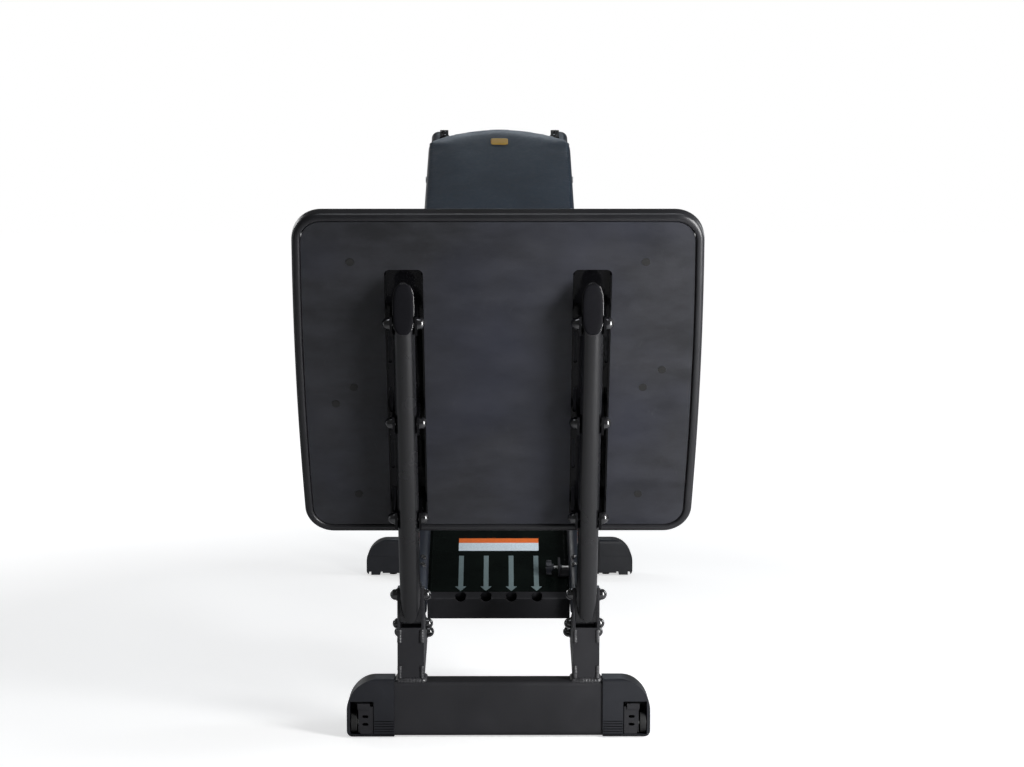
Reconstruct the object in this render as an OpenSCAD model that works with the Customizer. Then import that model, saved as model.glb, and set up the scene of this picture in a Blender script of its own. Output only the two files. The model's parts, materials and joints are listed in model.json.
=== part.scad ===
// Incline jump trainer: a jump plate on two leaning tubes, inclined twin rails,
// a rolling back pad with an adjustable lower stop, and a band anchor bar.
// Left and right are as seen from the jump plate's end, looking up the rails.

/* [Layout] */
// Tilt of the rails from the floor, and of the jump plate from upright
tilt = 24.7; // [23.5:0.1:25.5]
// Distance from the middle of the machine to each rail, post and plate tube
half_span = 188.5; // [186:0.5:191]
// Height of the jump plate's lower edge above the floor
plate_z = 453; // [445:1:465]
// Length of each rail
rail_len = 2540; // [2400:10:2700]
// Distance of the rails' top surface below the plate's lower edge, along the plate
rail_drop = 210.6; // [208:0.2:214]

/* [Jump plate] */
// Width of the plate at its ends, rim included
plate_w = 817; // [780:1:840]
// Height of the plate along its own face
plate_h = 742; // [720:1:780]
// How far each side bows outwards
side_bow = 5; // [0:0.5:8]
// Corner radius of the plate
plate_r = 60; // [45:1:70]
// Width of the raised rim at the top and sides
rim_w = 17; // [12:1:22]

/* [Bases] */
// Half width of the front base over its end caps
front_half = 326; // [315:1:340]
// Half width of the rear base over its end caps
rear_half = 407; // [390:1:420]
// Distance from the front base's face to the rear base's face
base_gap = 2036; // [1990:1:2080]
// Length of a base end cap
cap_len = 102; // [98:1:106]

/* [Carriage] */
// Where the pad's foot end rests, measured up the rails from the plate
pad_foot = 1280; // [1240:5:1300]
// Length of the back pad
pad_len = 1125; // [1100:5:1140]
// Half width of the back pad
pad_half = 220; // [218:1:224]
// Thickness of the back pad in its middle
pad_t = 46; // [40:1:55]

/* [Hidden] */

$fn = 64;

// Colours
steel = [0.13, 0.13, 0.14];
satin = [0.09, 0.09, 0.10];
moulded = [0.08, 0.08, 0.09];
dome = [0.05, 0.05, 0.05];
slate = [0.13, 0.16, 0.20];
zinc = [0.62, 0.62, 0.60];
rubber = [0.07, 0.07, 0.07];

// The plate's lower edge stands this far in front of the front base's face
plate_y = -8;

// Tubes that carry the plate
tube_r = 22.2;
tube_wall = 2.6;
plug_lip = 1.5;         // the tube's own edge shows this much round its plug
tube_gap = 50;          // from the plate's face plane to the tube's axis
tube_top_y = -286;      // upright plane of the bevel at the top
tube_foot_y = 7;        // upright plane of the bevel at the foot
bolt_rows = [61.7, 293, 523.6];
window_rows = [[44, 109], [154, 225], [290, 349], [406, 480]];
ear_half = 27.4;
ear_t = 5;

// Plate layers, measured along the plate's normal, towards the rails
panel_front = -10;
panel_t = 20;
mat_t = 6;
rim_proud = 4;
plug_places = [[-294, 640], [-295.5, 354], [-333.5, 315], [-293.5, 96],
  [294, 640], [334, 395], [296.5, 354], [294, 95.5]];
plug_r = 8.4;
pocket_half = 39;
pocket_low = 24;
pocket_high = 623;

// Base bars
bar_t = 65;
bar_h = 119;
bar_low = 3;
rear_top = 104;
bar_top = bar_low + bar_h;
cap_h = 125;
cap_low = 2;
cap_shoulder = 68;
cap_foot_r = 14;
rib_pitch = 5.6;
rear_cap_h = 109;
rear_cap_under = 8;

// Posts
post_half = 28.5;
post_wall = 5.5;
post_top = 323;
post_front = 8;
post_bolt_yz = [[24, 307], [127, 224], [205, 190]];
m12 = 6;
bolt_hole = m12 + 0.3;

// Rails, in the tilted frame: u runs up the rails, w stands square to them
rail_half = 29;
rail_h = 72;
rail_wall = 3;
rail_u0 = 92;
rail_u1 = rail_u0 + rail_len;
rail_top = -rail_drop;
rail_low = rail_top - rail_h;
rail_inner = half_span - rail_half;
rail_outer = half_span + rail_half;

// Rear frame
leg_w = 44;
leg_d = 60;
leg_y = base_gap + bar_t / 2;
leg_front = leg_y - leg_d / 2;
leg_wall = 2.6;

// Carriage
roller_waist = 22;
roller_rim = 28;
roller_w = 46;
axle_r = 6;
axle_w = rail_top + roller_waist + 0.6;
chan_top = axle_w + roller_rim + 4;
chan_wall = 3.5;
chan_half = 30;
chan_len = 1060;
board_t = 10;
chan_u0 = pad_foot + 15;
roller_u = [chan_u0 + 90, chan_u0 + 920];
board_w = chan_top + chan_wall;
pad_w = board_w + board_t;
head_arch = 290;

// Lower stop, which rests against the carriage's foot end
stop_gap = 0.4;
stop_len = 60;
stop_u1 = chan_u0 - stop_gap - 22;
stop_u0 = stop_u1 - stop_len;
stop_cheek = rail_outer + 2.2;
stop_knob_w = rail_top - 36;
hook_u = chan_u0 + 64;

// Band anchor
band_u = 110.8;
band_top = -257;
band_depth = 28;
band_h = 56;
slot_r = 12.5;
slot_pitch = 56.8;
slots = [-1.5:1.5];
panel_half = rail_inner - 0.3;
flange_x = 154;
panel_u1 = 430;

// End bumpers near the rails' upper ends, and screws at both ends
glide_travel = 320;
bumper_u = roller_u[1] + glide_travel + 55;
bumper_h = 14;
screw_pitch = 30;
low_screw_u = 182;
lock_u = 204;
lock_w = rail_top - 26;

// Transport wheels
wheel_r = 22;
wheel_t = 13;
wheel_x = front_half - 15.5;
wheel_yz = [15, 31];
recess_low = 7.5;
wheel_bore = 4.06;

// Middle of the whole length, which becomes the origin
y_front = plate_y + (panel_front - rim_proud) * cos(tilt) - (plate_h + 4) * sin(tilt);
y_back = plate_y + (rail_u1 + 6) * cos(tilt) - rail_low * sin(tilt);
y_mid = (y_front + y_back) / 2;

// Frames and helpers
module level() { translate([0, -y_mid, 0]) children(); }
module tilted() { translate([0, plate_y - y_mid, plate_z]) rotate([tilt, 0, 0]) children(); }
module on_side(side) { mirror([side < 0 ? 1 : 0, 0, 0]) children(); }
module both() { for (side = [-1, 1]) on_side(side) children(); }
module box(lo, hi) { translate(lo) cube(hi - lo); }
module rod_x(r, x0, x1) { translate([x0, 0, 0]) rotate([0, 90, 0]) cylinder(r = r, h = x1 - x0); }
module along_y(len) { rotate([-90, 0, 0]) mirror([0, 1, 0]) linear_extrude(len) children(); }
module along_x(len) { rotate([90, 0, 90]) linear_extrude(len) children(); }

// Rectangle from its corners, with a radius on the lower and on the upper corners
module rounded(lo, hi, r_low, r_high) {
  union() {
    translate([lo[0], lo[1] + r_low]) square([hi[0] - lo[0], hi[1] - lo[1] - r_low - r_high]);
    translate([lo[0] + r_low, lo[1]]) square([hi[0] - lo[0] - 2 * r_low, r_low + 1]);
    translate([lo[0] + r_high, hi[1] - r_high - 1])
      square([hi[0] - lo[0] - 2 * r_high, r_high + 1]);
    for (x = [lo[0] + r_low, hi[0] - r_low]) translate([x, lo[1] + r_low]) circle(r_low);
    for (x = [lo[0] + r_high, hi[0] - r_high]) translate([x, hi[1] - r_high]) circle(r_high);
  }
}

module tube_section(lo, hi, r_low, r_high, wall) {
  difference() {
    rounded(lo, hi, r_low, r_high);
    rounded(lo + [wall, wall], hi - [wall, wall], max(r_low - wall, 0.8), max(r_high - wall, 0.8));
  }
}

// Domed cap nut with its washer; it stands on x = 0 and points along +X
module cap_nut(r = 12, tall = 16) {
  rotate([0, 90, 0]) rotate_extrude() union() {
    square([r * 1.12, 2.4]);
    square([r, tall - r]);
    intersection() {
      translate([0, tall - r]) circle(r);
      translate([0, tall - r - 0.5]) square([r + 1, r + 1]);
    }
  }
}

// Through bolt along X between two faces, with a cap nut at each end
module cap_bolt(x0, x1, shank = m12, r = 12) {
  rod_x(shank, x0 - 1, x1 + 1);
  translate([x1, 0, 0]) cap_nut(r);
  translate([x0, 0, 0]) mirror([1, 0, 0]) cap_nut(r);
}

// Bases

module base_bar(half, top) {
  level() color(steel) translate([-half, 0, 0]) along_x(2 * half)
    tube_section([0, bar_low], [bar_t, top], 10, 10, 3);
}
module front_base_bar() { base_bar(front_half - cap_len - 0.2, bar_top); }
module rear_base_bar() { translate([0, base_gap, 0]) base_bar(rear_half - cap_len - 0.2, rear_top); }

// Moulded end cap: rounded outer shoulder, spigot into the bar, ribbed face
module cap_outline(x0, x1, tall) {
  union() {
    translate([x0, cap_low]) square([x1 - x0 - cap_foot_r, tall]);
    translate([x0, cap_low + cap_foot_r]) square([x1 - x0, tall - cap_foot_r - cap_shoulder]);
    translate([x1 - cap_foot_r, cap_low + cap_foot_r]) circle(cap_foot_r);
    intersection() {
      translate([x1 - cap_shoulder, cap_low + tall - cap_shoulder]) circle(cap_shoulder);
      translate([x1 - cap_shoulder - 1, cap_low + 20]) square([cap_shoulder + 2, tall]);
    }
  }
}
module cap_body(half, tall, inner_top) {
  x0 = half - cap_len;
  intersection() {
    difference() {
      translate([0, -4, 0]) along_y(bar_t + 8) cap_outline(x0, half, tall);
      translate([half - cap_shoulder, -20, cap_low + tall - cap_shoulder]) difference() {
        cube([cap_shoulder + 20, bar_t + 40, cap_shoulder + 20]);
        translate([0, -1, 0]) along_y(bar_t + 42) circle(cap_shoulder);
      }
    }
    translate([x0 - 1, 0, 0]) along_x(cap_len + 2)
      rounded([-4, cap_low], [bar_t + 4, cap_low + tall], 5, 12);
  }
  translate([x0 - 40, 0, 0]) along_x(41)
    rounded([3.4, bar_low + 3.4], [bar_t - 3.4, inner_top - 3.4], 6, 6);
}
module cap_ribs(x0, x1) {
  for (i = [0:5]) box([x0, -6, 7 + rib_pitch * i], [x1, -2.9, 8.9 + rib_pitch * i]);
}
module front_cap(side) {
  level() on_side(side) color(moulded) difference() {
    cap_body(front_half, cap_h, bar_top);
    box([front_half - 58, -6, recess_low], [front_half - 7, 56, 79]);
    cap_ribs(front_half - cap_len + 1, front_half - 59);
    translate([front_half - 85, 30, -1]) cylinder(r = 11, h = 7);
  }
}
module front_cap_left() { front_cap(-1); }
module front_cap_right() { front_cap(1); }

module rear_cap(side) {
  translate([0, base_gap, 0]) level() on_side(side) color(moulded) difference() {
    cap_body(rear_half, rear_cap_h, rear_top);
    box([rear_half - cap_len - 1, -6, -1], [rear_half + 1, -1.6, 61]);
    box([rear_half - cap_len - 50, -6, -1], [rear_half - 42, bar_t + 6, rear_cap_under]);
    for (x = [[-49, -41], [-14, -6]])
      box([rear_half + x[0], -6, -1], [rear_half + x[1], bar_t + 6, rear_cap_under + 4]);
    for (x = [-80, -27]) translate([rear_half + x, bar_t / 2, -1]) cylinder(r = 11, h = 11.1);
  }
}
module rear_cap_left() { rear_cap(-1); }
module rear_cap_right() { rear_cap(1); }

// Rubber pads under the caps; the machine stands on these
module floor_pads() {
  level() color(rubber) both() {
    translate([front_half - 85, 30, 0]) cylinder(r = 10.9, h = 5.9);
    for (x = [-80, -27])
      translate([rear_half + x, base_gap + bar_t / 2, 0]) cylinder(r = 10.9, h = 10);
  }
}

// Posts

module post_side_plate() {
  polygon([[post_front, bar_top], [post_front, post_top - 12], [post_front + 5, post_top],
    [44, post_top], [58, post_top - 14], [66, 262], [150, 236], [224, 214], [232, 206],
    [232, 172], [224, 163], [62, bar_top]]);
}
module post(side) {
  level() on_side(side) color(steel) translate([half_span, 0, 0]) difference() {
    union() {
      for (x = [-post_half, post_half - post_wall])
        translate([x, 0, 0]) along_x(post_wall) post_side_plate();
      box([-post_half + 1, post_front, bar_top], [post_half - 1, post_front + post_wall, 237]);
      box([-post_half + 1, 55, bar_top], [post_half - 1, 60, 200]);
    }
    for (p = post_bolt_yz) translate([0, p[0], p[1]]) rod_x(bolt_hole, -40, 40);
  }
}
module post_left() { post(-1); }
module post_right() { post(1); }

module post_bolts() {
  level() color(dome) both() for (p = post_bolt_yz)
    translate([half_span, p[0], p[1]]) cap_bolt(-post_half, post_half);
}

// Transport wheels

module wheel_bracket(side) {
  level() on_side(side) color(steel) difference() {
    union() {
      translate([front_half, -4, 0]) along_y(2.5)
        polygon([[-56, 9], [-29, 9], [-24.5, 60], [-23.2, 68], [-56, 68]]);
      box([front_half - 50, -7, 63], [front_half - 23.2, -1.5, 75]);
      box([front_half - 27.5, -4, 12], [front_half - 25, 54.8, 60]);
      box([front_half - 51, 52, 12], [front_half - 25, 54.8, 60]);
    }
    for (z = [29.5, 46.5]) translate([front_half - 40, 0, z]) {
      for (x = [-3.5, 3.5])
        translate([x, 0, 0]) rotate([90, 0, 0]) cylinder(r = 3, h = 12, center = true);
      box([-3.5, -6, -3], [3.5, 6, 3]);
    }
    translate([0, wheel_yz[0], wheel_yz[1]]) rod_x(4.2, front_half - 40, front_half);
  }
}
module wheel_bracket_left() { wheel_bracket(-1); }
module wheel_bracket_right() { wheel_bracket(1); }

module wheel_axles() {
  level() color(zinc) both() translate([0, wheel_yz[0], wheel_yz[1]]) {
    rod_x(4, front_half - 32, front_half - 7);
    rod_x(7.5, front_half - 38, front_half - 27.6);
    rod_x(6.5, front_half - 24.9, front_half - 23);
  }
}

module wheel(side) {
  level() on_side(side) color(rubber) translate([wheel_x, wheel_yz[0], wheel_yz[1]])
    rotate([0, 90, 0]) rotate_extrude() difference() {
      translate([wheel_bore, -wheel_t / 2]) square([wheel_r - wheel_bore, wheel_t]);
      for (y = [-wheel_t / 2, wheel_t / 2]) translate([13, y]) square([10, 4], center = true);
    }
}
module wheel_left() { wheel(-1); }
module wheel_right() { wheel(1); }

// Jump plate

module plate_tube(side) {
  on_side(side) color(satin) {
    difference() {
      tilted() translate([half_span, -tube_gap, -330]) difference() {
        cylinder(r = tube_r, h = 1000);
        translate([0, 0, -1]) cylinder(r = tube_r - tube_wall, h = 1002);
        for (w = bolt_rows) translate([0, 0, w + 330]) rod_x(bolt_hole, -40, 40);
      }
      level() box([half_span - 60, tube_top_y - 300, 500], [half_span + 60, tube_top_y, 1500]);
      level() box([half_span - 60, tube_foot_y, 0], [half_span + 60, 300, 420]);
    }
    level() difference() {
      box([half_span - 22.4, tube_foot_y, 250], [half_span + 22.4, 54, 330]);
      box([half_span - 18, tube_foot_y + 4, 249], [half_span + 18, 50, 331]);
      translate([half_span, post_bolt_yz[0][0], post_bolt_yz[0][1]]) rod_x(bolt_hole, -40, 40);
    }
  }
}
module plate_tube_left() { plate_tube(-1); }
module plate_tube_right() { plate_tube(1); }

// Oval plug on the upright bevel at the top of each tube
module tube_plugs() {
  color(moulded) both() intersection() {
    tilted() translate([half_span, -tube_gap, 300]) cylinder(r = tube_r - plug_lip, h = 500);
    level() box([half_span - 40, tube_top_y - 3, 500], [half_span + 40, tube_top_y - 0.05, 1300]);
  }
}

// Pressed channel in the plate's pocket: web with oblong windows, and ears on each side of the tube
module plate_channel(side) {
  tilted() on_side(side) translate([half_span, 0, 0]) color(satin) difference() {
    union() {
      upright_slab(0, 4) rounded([-pocket_half + 0.3, pocket_low + 0.3],
        [pocket_half - 0.3, pocket_high - 0.3], 3.7, 11.7);
      for (w = bolt_rows, x = [-ear_half, ear_half - ear_t])
        box([x, -tube_gap - 14, w - 21], [x + ear_t, 0.1, w + 21]);
      for (x = [-pocket_half + 0.3, pocket_half - 3.3])
        box([x, panel_front + 1, pocket_low + 4.5], [x + 3, 0.1, pocket_high - 12.5]);
    }
    for (w = bolt_rows) translate([0, -tube_gap, w]) rod_x(bolt_hole, -40, 40);
    for (row = window_rows, x = [-31.5, 31.5]) {
      box([x - 3.5, -2, row[0] + 3.5], [x + 3.5, 6, row[1] - 3.5]);
      for (w = [row[0] + 3.5, row[1] - 3.5])
        translate([x, 6, w]) rotate([90, 0, 0]) cylinder(r = 3.5, h = 8);
    }
  }
}
module plate_channel_left() { plate_channel(-1); }
module plate_channel_right() { plate_channel(1); }

module channel_bolts() {
  tilted() color(dome) both() for (w = bolt_rows)
    translate([half_span, -tube_gap, w]) cap_bolt(-ear_half, ear_half);
}

// Outline of the plate, shrunk by an inset; the sides bow out in the middle
function side_x(t, half, inset) = half - inset + side_bow * (1 - pow(2 * t - 1, 2));
function corner(cx, cy, r, a0) = [for (i = [0:10]) [cx + r * cos(a0 + 9 * i), cy + r * sin(a0 + 9 * i)]];
function right_side(inset) =
  let (half = plate_w / 2, r = plate_r - inset, low = 2 + inset, high = plate_h + 4 - inset)
  concat(corner(half - inset - r, low + r, r, -90),
    [for (i = [1:15]) let (t = i / 16) [side_x(t, half, inset), low + r + t * (high - low - 2 * r)]],
    corner(half - inset - r, high - r, r, 0));
function flipped(points) = [for (i = [len(points) - 1:-1:0]) [-points[i][0], points[i][1]]];
module plate_outline(inset) { polygon(concat(right_side(inset), flipped(right_side(inset)))); }
module upright_slab(y0, y1) {
  translate([0, y1, 0]) rotate([90, 0, 0]) linear_extrude(y1 - y0) children();
}

module pockets(y0, y1) {
  both() translate([half_span, 0, 0])
    upright_slab(y0, y1) rounded([-pocket_half, pocket_low], [pocket_half, pocket_high], 4, 12);
}

module jump_plate() {
  tilted() color(steel) difference() {
    upright_slab(panel_front, panel_front + panel_t) plate_outline(rim_w + 1.2);
    pockets(panel_front - 1, 4.2);
    for (p = plug_places) translate([p[0], panel_front, p[1]])
      rotate([90, 0, 0]) cylinder(r = plug_r + 0.2, h = 8, center = true);
  }
}
module plate_rim() {
  tilted() color(satin) difference() {
    upright_slab(panel_front - rim_proud, panel_front + panel_t + mat_t + 1) plate_outline(0);
    upright_slab(panel_front - rim_proud - 1, panel_front + panel_t + mat_t + 2)
      plate_outline(rim_w);
  }
}
module plate_mat() {
  tilted() color(rubber)
    upright_slab(panel_front + panel_t + 0.05, panel_front + panel_t + mat_t)
      plate_outline(rim_w + 1.6);
}
module plate_plugs() {
  tilted() color(rubber) for (p = plug_places)
    translate([p[0], panel_front + 3.8, p[1]]) rotate([90, 0, 0]) cylinder(r = plug_r, h = 4.3);
}

// Rails

module rail(side) {
  tilted() on_side(side) color(slate) translate([half_span, rail_u0, 0]) along_y(rail_len)
    tube_section([-rail_half, rail_low], [rail_half, rail_top], 10, 24, rail_wall);
}
module rail_left() { rail(-1); }
module rail_right() { rail(1); }

module rail_cap(u0, u1) {
  tilted() both() translate([half_span, u0, 0]) along_y(u1 - u0)
    rounded([-rail_half, rail_low], [rail_half, rail_top], 10, 24);
}
module rail_plug(u0, u1) {
  inset = rail_wall + 0.3;
  tilted() both() translate([half_span, u0, 0]) along_y(u1 - u0)
    rounded([-rail_half + inset, rail_low + inset], [rail_half - inset, rail_top - inset], 6, 20);
}
module rail_caps_upper() {
  color(moulded) {
    rail_cap(rail_u1 + 0.05, rail_u1 + 6);
    rail_plug(rail_u1 - 25, rail_u1 + 1);
  }
}
module rail_caps_lower() {
  color(moulded) {
    rail_cap(rail_u0 - 5, rail_u0 - 0.05);
    rail_plug(rail_u0 - 1, rail_u0 + 25);
  }
}

// Shoe welded under each rail's lower end and bolted between the post's side plates
module rail_shoe(side) {
  under = rail_low - 0.05;
  level() on_side(side) color(steel) difference() {
    translate([half_span - 22.7, 0, 0]) along_x(45.4)
      polygon([[104, 206], [104, 228], [112, 236], [150, 229], shoe_at(rail_u0 - 9, under - 3),
        shoe_at(rail_u0 + 5, under), shoe_at(rail_u0 + 150, under),
        shoe_at(rail_u0 + 150, under - 22), [262, 178], [225, 168], [190, 166]]);
    translate([half_span - 17.7, 0, 0]) along_x(35.4)
      polygon([[100, 180], [112, 212], [140, 219], [188, 219], [275, 244], [290, 200], [240, 150],
        [100, 150]]);
    for (i = [1, 2])
      translate([half_span, post_bolt_yz[i][0], post_bolt_yz[i][1]]) rod_x(bolt_hole, -40, 40);
  }
}
function shoe_at(u, w) = [plate_y + u * cos(tilt) - w * sin(tilt), plate_z + u * sin(tilt) + w * cos(tilt)];
module rail_shoe_left() { rail_shoe(-1); }
module rail_shoe_right() { rail_shoe(1); }

// Band anchor bar between the rails, with four round notches
module band_bar() {
  tilted() color(steel) difference() {
    translate([-rail_inner + 0.1, band_u, 0]) along_x(2 * rail_inner - 0.2)
      tube_section([0, band_top - band_h], [band_depth, band_top], 3, 3, 3);
    for (i = slots) translate([i * slot_pitch, band_u, band_top]) {
      translate([0, slot_r + 1.5, -12]) cylinder(r = slot_r, h = 40);
      translate([0, -5, 2.8]) along_y(slot_r + 6) circle(slot_r);
    }
  }
}
module band_panel() {
  tilted() color(satin) {
    box([-panel_half, band_u + band_depth + 0.1, band_top - 4], [panel_half, panel_u1, band_top]);
    both() box([flange_x - 3, band_u + band_depth + 0.1, band_top - 1],
      [flange_x, panel_u1, band_top + 3]);
  }
}
// Printed arrows that point to the notches, as thin raised plates
module band_arrows() {
  tilted() color([0.45, 0.50, 0.50]) for (i = slots)
    translate([i * slot_pitch, 0, band_top + 0.05]) linear_extrude(0.5)
      polygon([[-5.5, 280], [5.5, 280], [5.5, 157], [12.5, 157], [0, 139.5], [-12.5, 157], [-5.5, 157]]);
}

module cross_tube(u, w, depth, tall) {
  tilted() color(steel) translate([-rail_inner + 0.1, u, 0]) along_x(2 * rail_inner - 0.2)
    tube_section([0, w - tall], [depth, w], 6, 6, 2.5);
}
module middle_tie() { cross_tube(1120, rail_top - 49, 44, 22); }
module top_tie() { cross_tube(rail_u1 - 75, rail_top - 18, 40, 40); }

// Rear legs

module rear_leg(side) {
  on_side(side) color(steel) difference() {
    level() translate([half_span, 0, rear_top + 0.05]) linear_extrude(1100)
      tube_section([-leg_w / 2, leg_front], [leg_w / 2, leg_front + leg_d], 6, 6, leg_wall);
    tilted() box([0, 0, rail_low - 0.1], [400, 3000, 900]);
  }
}
module rear_leg_left() { rear_leg(-1); }
module rear_leg_right() { rear_leg(1); }

module leg_brace() {
  level() color(steel) translate([-half_span + leg_w / 2 + 0.1, 0, 0]) along_x(2 * half_span - leg_w - 0.2)
    tube_section([leg_front + 12, 560], [leg_front + leg_d - 12, 610], 5, 5, 2.5);
}
// Button-head bolts that hold the legs to the rails and to the base bar
module leg_bolts() {
  level() color(dome) both() for (z = [150, 185])
    translate([half_span + leg_w / 2 + 0.05, leg_y, z]) cap_nut(9, 10);
}

// Rail stops

// Bumper section, shaped to the rounded inner corner of the rail
module bumper_section() {
  difference() {
    translate([-25, -7]) square([26, 7 + bumper_h]);
    translate([-5, -24]) circle(24.15);
    translate([-5, -24]) square([20, 24.15]);
  }
}
module rail_bumpers() {
  tilted() color(rubber) both() translate([half_span, bumper_u - 28, rail_top]) difference() {
    along_y(56) bumper_section();
    for (i = [-0.5, 0.5])
      translate([-10, 28 + i * screw_pitch, -8]) cylinder(r = 3.2, h = bumper_h + 10);
  }
}
module screw_head(r) {
  cylinder(r = r, h = 1.6);
  translate([0, 0, 1]) cylinder(r = r - 2, h = 3);
}
module bumper_screws() {
  tilted() color(dome) both() translate([half_span, 0, rail_top]) {
    for (i = [-0.5, 0.5]) translate([-10, bumper_u + i * screw_pitch, 0]) {
      translate([0, 0, 0.2]) cylinder(r = 3, h = bumper_h + 1);
      translate([0, 0, bumper_h + 0.05]) screw_head(7);
    }
    for (i = [0, 1]) translate([-5, low_screw_u + i * screw_pitch, -24])
      rotate([0, -33, 0]) translate([0, 0, 24.1]) screw_head(7);
  }
}

// Clamp knob inside the right rail, on its own small bracket
module lock_bracket() {
  tilted() color(steel) difference() {
    union() {
      box([134, lock_u - 16, lock_w - 16], [139, lock_u + 16, lock_w + 16]);
      box([134, lock_u - 16, lock_w - 16], [rail_inner - 0.1, lock_u + 16, lock_w - 12]);
    }
    translate([0, lock_u, lock_w]) rod_x(4.06, 120, 150);
  }
}
module lock_knob() {
  tilted() color(dome) translate([0, lock_u, lock_w]) {
    rod_x(4, 118, rail_inner - 0.4);
    rod_x(8, 119, 125);
    rod_x(6, 139.3, 143);
    for (a = [0:60:150]) rotate([a, 0, 0]) box([108, -16, -4.5], [119.5, 16, 4.5]);
    rod_x(12.5, 107, 119.5);
  }
}

// Lower stop of the carriage

module stop_beam() {
  tilted() color(steel) {
    translate([-rail_inner + 2, 0, 0]) along_x(2 * rail_inner - 4)
      tube_section([stop_u0 + 8, rail_top - 46], [stop_u1 - 8, rail_top - 8], 4, 4, 3);
    both() difference() {
      union() {
        box([rail_inner - 7, stop_u0, rail_top - 40], [rail_inner - 2, stop_u1, rail_top + 5.8]);
        box([rail_inner - 7, stop_u0, rail_top + 0.8], [stop_cheek + 5, stop_u1, rail_top + 5.8]);
        box([stop_cheek, stop_u0, rail_top - 54], [stop_cheek + 5, stop_u1, rail_top + 5.8]);
        translate([0, (stop_u0 + stop_u1) / 2, stop_knob_w]) rod_x(11, stop_cheek + 4, stop_cheek + 14);
      }
      translate([0, (stop_u0 + stop_u1) / 2, stop_knob_w]) rod_x(5.06, stop_cheek - 5, stop_cheek + 30);
    }
    both() box([60, stop_u1 - 14, rail_top - 9], [104, stop_u1 - 8, axle_w + 22]);
  }
}
module stop_buffers() {
  tilted() color(rubber) both() translate([82, stop_u1 - 7.9, axle_w + 4])
    along_y(chan_u0 - stop_gap - stop_u1 + 7.9) circle(15);
}
module stop_knob(side) {
  tilted() on_side(side) color(dome) translate([0, (stop_u0 + stop_u1) / 2, stop_knob_w]) {
    rod_x(5, stop_cheek - 1.6, stop_cheek + 20);
    rod_x(10, stop_cheek + 15, stop_cheek + 22);
    difference() {
      rod_x(24, stop_cheek + 21, stop_cheek + 39);
      for (a = [0:60:300]) rotate([a + 30, 0, 0])
        translate([0, 27, 0]) rod_x(8, stop_cheek + 20, stop_cheek + 40);
    }
  }
}
module stop_knob_left() { stop_knob(-1); }
module stop_knob_right() { stop_knob(1); }

// Carriage

// Inverted channels that straddle the rollers
module carriage_channels() {
  tilted() color(steel) both() difference() {
    union() {
      box([half_span - chan_half, chan_u0, chan_top],
        [half_span + chan_half, chan_u0 + chan_len, board_w]);
      for (x = [-chan_half, chan_half - chan_wall])
        box([half_span + x, chan_u0, rail_top + 8],
          [half_span + x + chan_wall, chan_u0 + chan_len, chan_top + 1]);
    }
    for (u = roller_u) translate([half_span, u, axle_w]) rod_x(axle_r + 0.2, -50, 50);
    for (x = [-chan_half - 1, chan_half - chan_wall - 1]) for (i = [0:2])
      box([half_span + x, chan_u0 + 190 + i * 180, rail_top + 7],
        [half_span + x + chan_wall + 2, chan_u0 + 310 + i * 180, chan_top - 16]);
  }
}
module carriage_ties() {
  inner = half_span - chan_half - 0.1;
  tilted() color(steel) for (u = [chan_u0, chan_u0 + 500, chan_u0 + chan_len - 40])
    translate([-inner, u, 0]) along_x(2 * inner)
      tube_section([0, board_w - 34], [40, board_w - 0.1], 5, 5, 2.5);
}
module roller_axles() {
  tilted() color(zinc) both() for (u = roller_u) translate([half_span, u, axle_w]) {
    rod_x(axle_r, -chan_half - 7, chan_half + 4);
    rod_x(9.5, chan_half + 0.05, chan_half + 5);
    rod_x(9.5, -chan_half - 8, -chan_half - 0.05);
    for (x = [-roller_w / 2 - 2.3, roller_w / 2 + 0.3]) rod_x(9, x, x + 2);
  }
}
module roller(i, side) {
  tilted() on_side(side) color([0.15, 0.15, 0.16]) translate([half_span, roller_u[i], axle_w])
    rotate([0, 90, 0]) rotate_extrude() difference() {
      translate([axle_r + 0.06, -roller_w / 2]) square([roller_rim - axle_r - 0.06, roller_w]);
      translate([roller_waist + 60, 0]) circle(60, $fn = 200);
    }
}
module roller_lower_left() { roller(0, -1); }
module roller_lower_right() { roller(0, 1); }
module roller_upper_left() { roller(1, -1); }
module roller_upper_right() { roller(1, 1); }

// Plan of the board and of the pad: straight sides and an arched head end
module couch_plan(inset) {
  half = pad_half - inset;
  head = pad_foot + pad_len - inset;
  intersection() {
    union() {
      translate([-half + 40, pad_foot + inset]) square([2 * half - 80, pad_len - 2 * inset]);
      translate([-half, pad_foot + inset + 40]) square([2 * half, pad_len - 2 * inset - 110]);
      for (x = [-half + 40, half - 40]) translate([x, pad_foot + inset + 40]) circle(40);
      for (x = [-half + 70, half - 70]) translate([x, head - 70]) circle(70);
    }
    translate([0, head - head_arch]) union() {
      circle(head_arch, $fn = 200);
      translate([-head_arch, -1500]) square([2 * head_arch, 1500]);
    }
  }
}
module glide_board() {
  tilted() color([0.1, 0.1, 0.1]) translate([0, 0, board_w + 0.1])
    linear_extrude(board_t - 0.2) couch_plan(8);
}
module back_pad() {
  tilted() color(slate) translate([0, 0, pad_w]) linear_extrude(pad_t) couch_plan(0);
}
// Foot-end bar of the carriage with four hooks for the bands
module band_hooks() {
  tilted() color(steel) for (i = slots) translate([i * slot_pitch, hook_u, board_w - 0.2]) {
    box([-9, -23.8, -32], [9, 6, -28]);
    box([-9, 2, -32], [9, 6, -12]);
  }
}

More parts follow.
